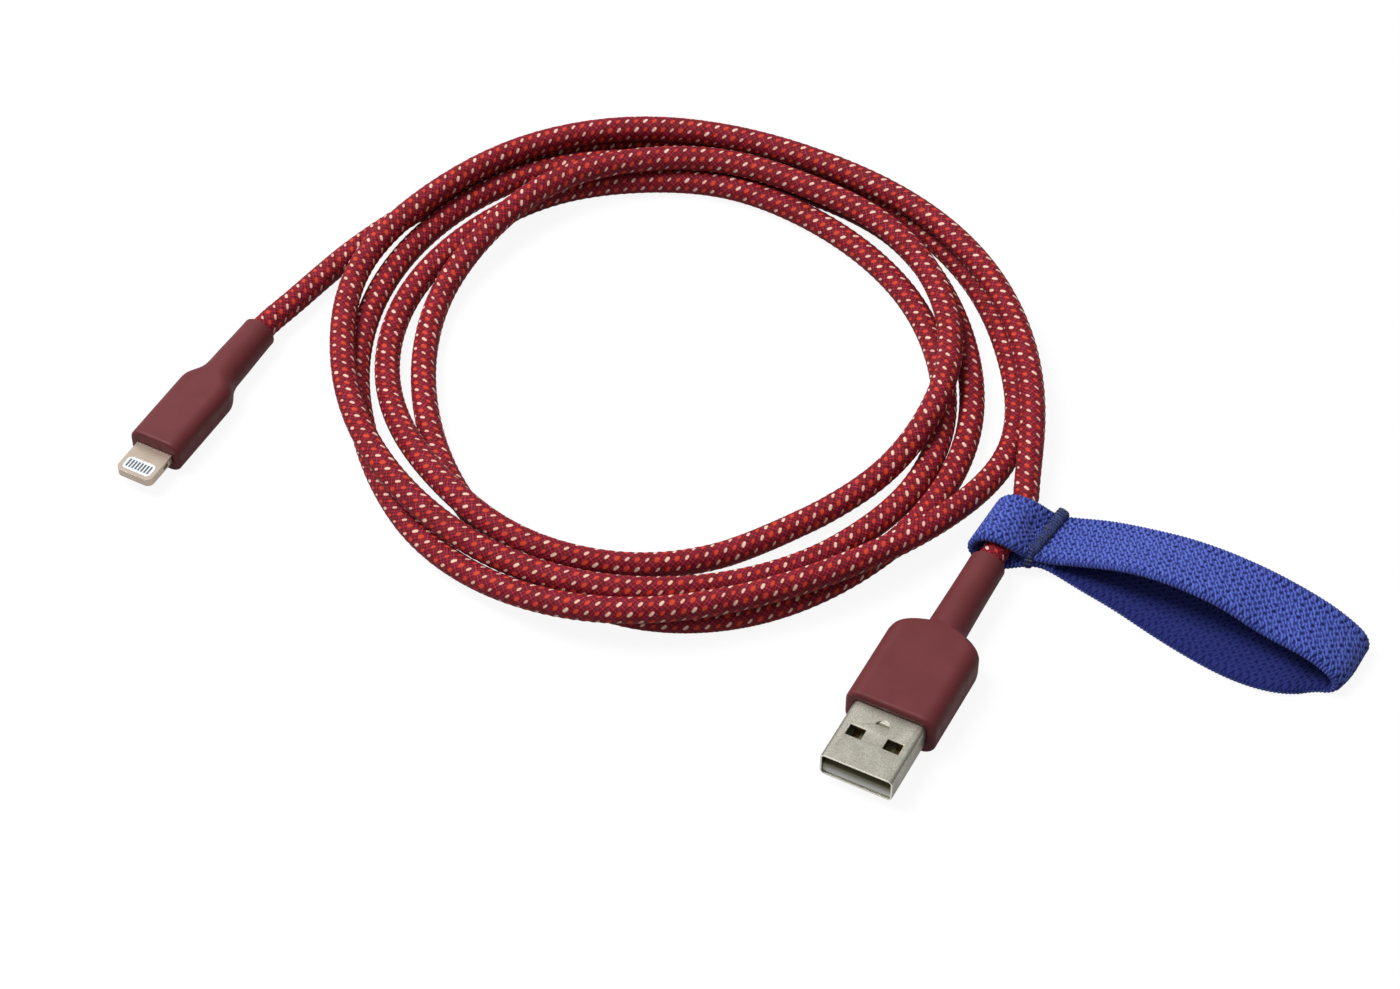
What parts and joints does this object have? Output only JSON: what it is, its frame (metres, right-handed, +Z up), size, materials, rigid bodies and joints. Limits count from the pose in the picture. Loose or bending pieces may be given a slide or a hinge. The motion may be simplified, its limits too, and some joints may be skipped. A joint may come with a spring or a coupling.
{
  "type": "charging_cable",
  "caption": "Braided charging cable lying in a loose coil, with a rectangular charger plug, a slim reversible device plug and an elastic keeper strap.",
  "frame": {"origin": "On the table under the middle of the box that holds the two plugs and the strap, without the cord.", "axes": "+X runs from the device plug toward the strap, the longest way across plugs and strap; +Z is up from the table, the shortest way; +Y points away from the charger plug across the coil."},
  "size_m": [0.1977, 0.1474, 0.0093],
  "materials": {
    "plated_steel": "satin plated sheet",
    "champagne_nickel": "satin",
    "gold_contact": "satin",
    "grey_contact": "satin",
    "white_insulator": "satin moulded",
    "natural_polymer": "translucent moulded",
    "burgundy_grip": "soft matte moulded",
    "red_braid": "braided yarn with cream and orange flecks",
    "grey_jacket": "matte extruded",
    "wire_red": "extruded insulation",
    "wire_white": "extruded insulation",
    "wire_green": "extruded insulation",
    "wire_black": "extruded insulation",
    "circuit_board": "solder mask",
    "chip_black": "moulded package",
    "blue_elastic": "knitted elastic band",
    "navy_thread": "sewing thread"
  },
  "bodies": {
    "cable": {"charger_shell": "plated_steel", "charger_insulator": "white_insulator", "charger_contact_power": "gold_contact", "charger_contact_data_minus": "gold_contact", "charger_contact_data_plus": "gold_contact", "charger_contact_ground": "gold_contact", "charger_rear_shield": "plated_steel", "charger_inner_mould": "natural_polymer", "charger_grip": "burgundy_grip", "charger_wire_red": "wire_red", "charger_wire_white": "wire_white", "charger_wire_green": "wire_green", "charger_wire_black": "wire_black", "braided_sleeve": "red_braid", "inner_jacket": "grey_jacket", "device_blade_frame": "champagne_nickel", "device_contact_insert": "white_insulator", "device_contacts_upper": "grey_contact", "device_contacts_lower": "grey_contact", "device_circuit_board": "circuit_board", "device_control_chip": "chip_black", "device_protection_chip": "chip_black", "device_shield_can": "plated_steel", "device_inner_mould": "natural_polymer", "device_grip": "burgundy_grip", "device_wire_red": "wire_red", "device_wire_white": "wire_white", "device_wire_green": "wire_green", "device_wire_black": "wire_black"},
    "collar": {"strap_collar": "blue_elastic", "strap_stitching": "navy_thread"},
    "loop": {"strap_loop": "blue_elastic"}
  },
  "joints": [
    {"name": "strap_swivel", "type": "hinge", "parent": "cable", "child": "collar", "pos_m": [0.0441, 0.0031, 0.004], "axis": [-0.4617, -0.887, 0], "range_deg": [0, 110]},
    {"name": "strap_fold", "type": "hinge", "parent": "collar", "child": "loop", "pos_m": [0.04966, -0.00018, 0.0039], "axis": [-0.5075, -0.8616, 0], "range_deg": [0, 45]}
  ]
}
